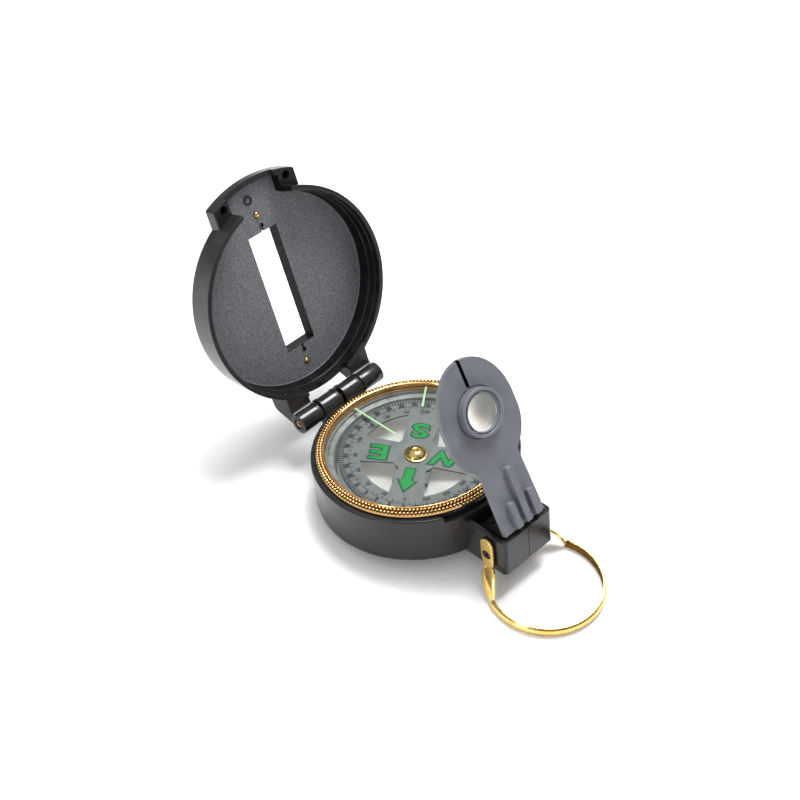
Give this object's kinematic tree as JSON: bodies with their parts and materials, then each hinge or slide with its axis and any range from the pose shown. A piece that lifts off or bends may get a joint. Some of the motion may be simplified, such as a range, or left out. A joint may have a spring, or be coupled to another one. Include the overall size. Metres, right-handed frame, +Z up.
{
  "type": "sighting compass",
  "caption": "Folding sighting compass: hinged cover with a sight slot and wire, turning bezel, floating dial card, lens bracket and swinging thumb loop.",
  "frame": {"origin": "centre of the round case's flat underside", "axes": "+Z up through the dial, +Y from the bracket housing towards the cover hinge, +X to the right seen from the bracket housing"},
  "size_m": [0.0572, 0.1168, 0.0848],
  "materials": {
    "case_plastic": "glossy dark grey moulded plastic",
    "grey_plastic": "satin mid grey moulded plastic",
    "pale_plastic": "pale glossy moulded plastic",
    "card_grey": "matte printed grey card",
    "gold_anodised": "gold anodised, knurled",
    "polished_brass": "polished",
    "steel": "plain",
    "clear_glass": "clear, polished",
    "luminous_green": "luminous paint"
  },
  "bodies": {
    "case_body": {"case": "case_plastic", "capsule_bowl": "pale_plastic", "inner_crystal": "clear_glass", "fixed_index": "luminous_green", "pivot_needle": "steel", "bezel_washer": "steel", "hinge_pin": "polished_brass"},
    "bezel": {"bezel_ring": "gold_anodised", "bezel_crystal": "clear_glass", "bezel_index": "luminous_green"},
    "dial_pivot": {"dial_cap": "polished_brass"},
    "dial": {"dial_card": "card_grey", "magnet_left": "steel", "magnet_right": "steel"},
    "cover_body": {"cover": "case_plastic", "wire_pin_upper": "polished_brass", "wire_pin_lower": "polished_brass", "sight_wire": "steel"},
    "bracket": {"lens_bracket": "grey_plastic", "lens": "clear_glass", "lens_ring": "grey_plastic"},
    "loop": {"thumb_loop": "polished_brass"}
  },
  "joints": [
    {"name": "cover_hinge", "type": "hinge", "parent": "case_body", "child": "cover_body", "pos_m": [0, 0.0297, 0.0145], "axis": [1, 0, 0], "range_deg": [-6, 105]},
    {"name": "bracket_fold", "type": "hinge", "parent": "case_body", "child": "bracket", "pos_m": [0, -0.0308, 0.0089], "axis": [1, 0, 0], "range_deg": [-58.6, 3.5]},
    {"name": "loop_swing", "type": "hinge", "parent": "case_body", "child": "loop", "pos_m": [0, -0.0342, 0.0049], "axis": [-1, 0, 0], "range_deg": [-60, 95]},
    {"name": "bezel_turn", "type": "hinge", "parent": "case_body", "child": "bezel", "pos_m": [0, 0, 0.0141], "axis": [0, 0, 1], "continuous": true},
    {"name": "dial_tilt", "type": "hinge", "parent": "case_body", "child": "dial_pivot", "pos_m": [0, 0, 0.0117], "axis": [1, 0, 0], "range_deg": [-11, 0.3]},
    {"name": "dial_turn", "type": "hinge", "parent": "dial_pivot", "child": "dial", "pos_m": [0, 0, 0.0117], "axis": [0, -0.0958, 0.9954], "continuous": true}
  ],
  "couplings": [
    {"joint": "bracket_fold", "follows": "cover_hinge", "ratio": -0.557}
  ]
}
